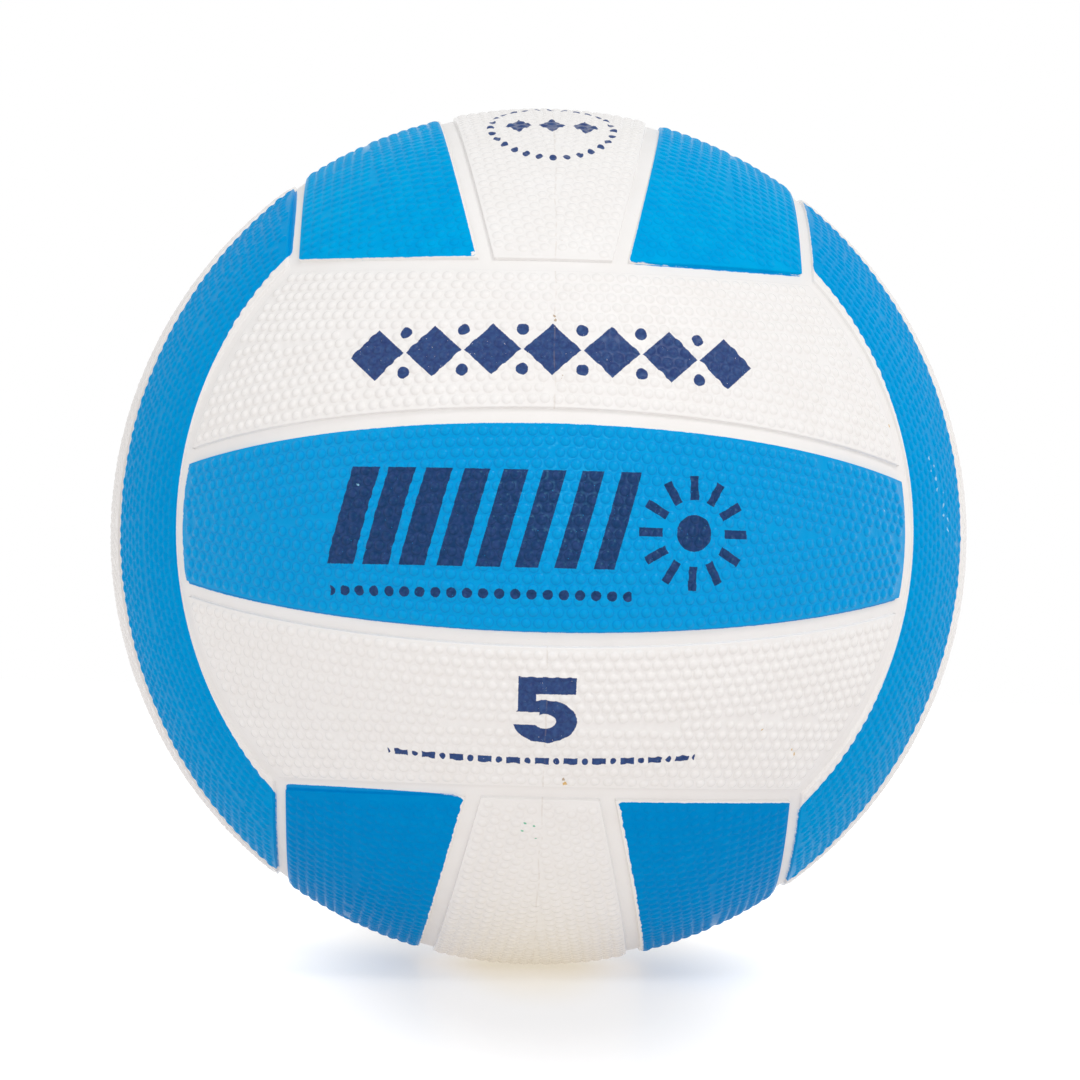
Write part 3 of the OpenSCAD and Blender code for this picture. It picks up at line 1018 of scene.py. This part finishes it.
def panel_material(strip):
    """Rubber of one panel, with its paint, marks, dirt and spots, and painted shade round the foot of each
    pebble.
    """
    shader = Shader(bpy.data.materials.new(strip.name + "_rubber"))
    place, unit, height = rubber_grounds(shader)
    wander = wander_of(shader, place, height)
    fine = shader.sway(place, *FINE_WANDER)
    face = strip.name.split("_")[0]
    # ring is the share of painted shade round each pebble's foot, blended into the white, the blue and the
    # navy
    ring = foot_shade(shader, height, FOOT_SHADE_SHARE if face == "front" and strip.blue else FOOT_SHADE_WORN_SHARE)
    colour = shader.blend(ring, white_colour(shader, place), WHITE_FOOT_SHADE)
    gloss = WHITE_GLOSS
    if strip.blue:
        inside = shader.math("ADD", printed(shader, unit, height, wander, strip), fine)
        paint = shader.blend(ring, blue_colour(shader, place, face), BLUE_FOOT_SHADE)
        colour = shader.blend(shader.between(inside, -PRINT_SOFT, PRINT_SOFT), colour, paint)
        gloss = BLUE_GLOSS if face == "front" else BLUE_DULL
    if strip.name in MARKS:
        outside = shader.math("ADD", marked(shader, unit, strip), fine)
        outside = shader.linear(wander, INK_WANDER, outside)
        pinholes = shader.patches(place, *PINHOLES)
        ink = shader.minus(shader.between(outside, PRINT_SOFT, -PRINT_SOFT), pinholes)
        worn = shader.patches(place, *INK_WEAR)
        thick, thin = (NAVY, NAVY_WORN) if strip.blue else (NAVY_WORN, NAVY_THIN)
        tone = shader.blend(ring, shader.blend(worn, thick, thin), NAVY_FOOT_SHADE)
        colour = shader.blend(ink, colour, tone)
    if strip.name in PARTED:
        colour = parting_line(shader, place, colour)
    colour = spotted(shader, place, colour, strip.name)
    grain = shader.noise(place, *GRAIN)
    return shader.finish(colour, shader.linear(grain, *GRAIN_ROUGHNESS), grain, GRAIN_DEPTH, gloss)


def carcass_material(strips):
    """Floor of the channels: white, with what the blue print spills over the panels' edges."""
    shader = Shader(bpy.data.materials.new("channel_rubber"))
    place, unit, height = rubber_grounds(shader)
    wander = wander_of(shader, place, PEBBLE_H / 2)
    prints = [printed(shader, unit, height, wander, s) for s in strips if s.blue and s.name in PRINT]
    inside = shader.math("ADD", shader.most(*prints), shader.sway(place, *FINE_WANDER))
    colour = white_colour(shader, place)
    paint = blue_colour(shader, place, "channels")
    colour = shader.blend(shader.between(inside, -PRINT_SOFT, PRINT_SOFT), colour, paint)
    colour = spotted(shader, place, colour, "channels")
    grain = shader.noise(place, *CHANNEL_GRAIN)
    return shader.finish(colour, CHANNEL_ROUGHNESS, grain, CHANNEL_GRAIN_DEPTH, WHITE_GLOSS)


def plain_material(name, colour, other, size, roughness):
    """A piece inside the ball: two tones in patches of this size."""
    shader = Shader(bpy.data.materials.new(name))
    place = shader.place()
    tone = shader.blend(shader.noise(place, size, PLAIN_DETAIL), colour, other)
    grain = shader.noise(place, size / PLAIN_GRAIN_FINER, *GRAIN[1:])
    return shader.finish(tone, roughness, grain, PLAIN_GRAIN_DEPTH, PLAIN_GLOSS)


def make_panels():
    """Makes the 18 panels in place of the frame's; returns their strips."""
    strips = [Strip(face, index) for face in FACES for index in range(3)]
    for number, strip in enumerate(strips):
        rng = np.random.default_rng(number)
        panel = to_object(strip.name + "_pebbled", panel_mesh(strip, rng), strip)
        panel.data.materials.append(panel_material(strip))
        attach(panel, "root")
        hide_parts(strip.node)
    return strips


def dress_nodes(strips):
    """Materials of the frame's own pieces."""
    made = {"carcass": carcass_material(strips)}
    made.update({node: plain_material(*look) for node, look in PLAIN.items()})
    for node, material in made.items():
        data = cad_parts[node].data
        if not data.materials:
            data.materials.append(material)
        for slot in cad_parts[node].material_slots:
            slot.material = material


# Camera: distance from the centre of the ball in radii over the pebbles, axes, focal length
# and the ball's place in a frame of FRAME_PX pixels
CAMERA_RADII = 11.144
PEBBLE_TOP_R = BALL_R + PEBBLE_H
CAMERA_RIGHT = Vector((0.99945795, -0.02238166, 0.0241428))
CAMERA_AHEAD = Vector((0.02187422, 0.99953843, 0.02108178))
FRAME_PX = 1080
FOCAL_PX = 4761
BALL_PX = (538.6, 536.4)
SENSOR = 36.0
CLIP_END = 50


def make_camera():
    data = bpy.data.cameras.new("camera")
    data.sensor_width = SENSOR
    data.lens = FOCAL_PX / FRAME_PX * SENSOR
    data.clip_end = CLIP_END
    data.shift_x = (FRAME_PX / 2 - BALL_PX[0]) / FRAME_PX
    data.shift_y = (BALL_PX[1] - FRAME_PX / 2) / FRAME_PX
    camera = place_object("camera", data)
    up = CAMERA_RIGHT.cross(CAMERA_AHEAD)
    axes = Matrix((CAMERA_RIGHT, up, -CAMERA_AHEAD)).transposed()
    place = -CAMERA_AHEAD * CAMERA_RADII * PEBBLE_TOP_R * MM
    camera.matrix_world = Matrix.Translation(place) @ axes.to_4x4()
    bpy.context.scene.camera = camera


def make_lamp(name, direction, distance, size, level):
    """A soft lamp aimed at the ball, which lights what faces it to this level of white."""
    data = bpy.data.lights.new(name, "AREA")
    data.shape = "RECTANGLE"
    data.size, data.size_y = size
    data.energy = level * (math.pi * distance) ** 2
    lamp = place_object(name, data)
    towards = Vector(direction).normalized()
    turn = towards.to_track_quat("Z", "Y").to_matrix().to_4x4()
    lamp.matrix_world = Matrix.Translation(towards * distance) @ turn


# Lamps: name, direction and distance from the ball, size, level of white. In metres.
LAMPS = (
    ("key", (0.42, -0.5, 0.75), 1.7, (0.6, 0.6), 0.25),
    ("front", (0.16, -1.0, 0.22), 1.35, (0.22, 0.36), 0.12),
    ("left", (-0.8, -0.45, 0.4), 1.7, (0.9, 0.9), 0.12),
    ("rim", (1.0, 0.6, 0.2), 1.7, (0.8, 1.2), 0.05),
)
AMBIENT = 0.62
BACKDROP = (1, 1, 1, 1)
FLOOR_HALF = 6.0
FLOOR_COLOUR = (0.46, 0.46, 0.47, 1)
FLOOR_GLOSS_SHARE = 0.15
FLOOR_GLOSS_ROUGHNESS = 0.3

# Glow of the floor near the ball, further off and far off, as it is seen and as it lights. As seen, it is
# darker and warmer close to the ball, a painted shadow. As it lights the ball, the floor glows like a lamp,
# warmer close to it, as painted bounce light.
# GLOW_RANGES are the distances from the middle where one gives way to the next, in metres,
# and GLOW_SHRINK is what they count in each direction.
SEEN_GLOW_AND_PAINTED_SHADOW = ((0.42, 0.38, 0.31, 1), (0.44, 0.43, 0.42, 1), (0.8, 0.8, 0.8, 1))
LIGHT_GLOW_AND_PAINTED_BOUNCE = ((0.48, 0.43, 0.34, 1), (0.47, 0.425, 0.385, 1), (0.42, 0.38, 0.352, 1))
GLOW_RANGES = ((0.01, 0.025), (0.025, 0.075))
GLOW_SHRINK = (1, 0.15, 0)


def seen_or_lit(shader, level):
    """1 for what the camera, gloss and glass see, and level for the light on the ball."""
    path = shader.put("LightPath").outputs
    seen = shader.most(path["Is Camera Ray"], path["Is Glossy Ray"], path["Is Transmission Ray"])
    return shader.put("MapRange", seen, 0.0, 1.0, level, 1.0).outputs[0]


def make_world():
    world = bpy.data.worlds.new("studio")
    bpy.context.scene.world = world
    shader = Shader(world)
    back = shader.put("Background", BACKDROP, seen_or_lit(shader, AMBIENT))
    shader.put("OutputWorld", back.outputs[0])


def floor_material():
    """Pale floor with a little gloss, and a glow that paints a darker, warmer shadow round the ball where
    it is seen, and lights the ball like a lamp, warmer close to it.
    """
    shader = Shader(bpy.data.materials.new("floor"))
    diffuse = shader.put("BsdfDiffuse", FLOOR_COLOUR)
    gloss = shader.put("BsdfGlossy")
    shader.give(gloss.inputs["Roughness"], FLOOR_GLOSS_ROUGHNESS)
    place = shader.put("TexCoord").outputs["Object"]
    away = shader.vector("LENGTH", shader.vector("MULTIPLY", place, GLOW_SHRINK)[0])["Value"]
    shares = [shader.between(away, *span) for span in GLOW_RANGES]
    tones = []
    for near, middle, far in (LIGHT_GLOW_AND_PAINTED_BOUNCE, SEEN_GLOW_AND_PAINTED_SHADOW):
        tones.append(shader.blend(shares[1], shader.blend(shares[0], near, middle), far))
    glow = shader.put("Emission", shader.blend(seen_or_lit(shader, 0), *tones))
    surface = shader.put("MixShader", FLOOR_GLOSS_SHARE, diffuse.outputs[0], gloss.outputs[0])
    total = shader.put("AddShader", surface.outputs[0], glow.outputs[0])
    shader.put("OutputMaterial", total.outputs[0])
    return shader.owner


def make_floor(height):
    mesh = bpy.data.meshes.new("floor")
    sides = ((-1, -1), (1, -1), (1, 1), (-1, 1))
    corners = [(FLOOR_HALF * x, FLOOR_HALF * y, height) for x, y in sides]
    mesh.from_pydata(corners, [], [(0, 1, 2, 3)])
    mesh.materials.append(floor_material())
    place_object("floor", mesh)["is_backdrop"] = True


strips = make_panels()
dress_nodes(strips)
make_camera()
make_world()
for lamp in LAMPS:
    make_lamp(*lamp)
make_floor(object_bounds()[0].z)

view = bpy.context.scene.view_settings
view.view_transform = "Standard"
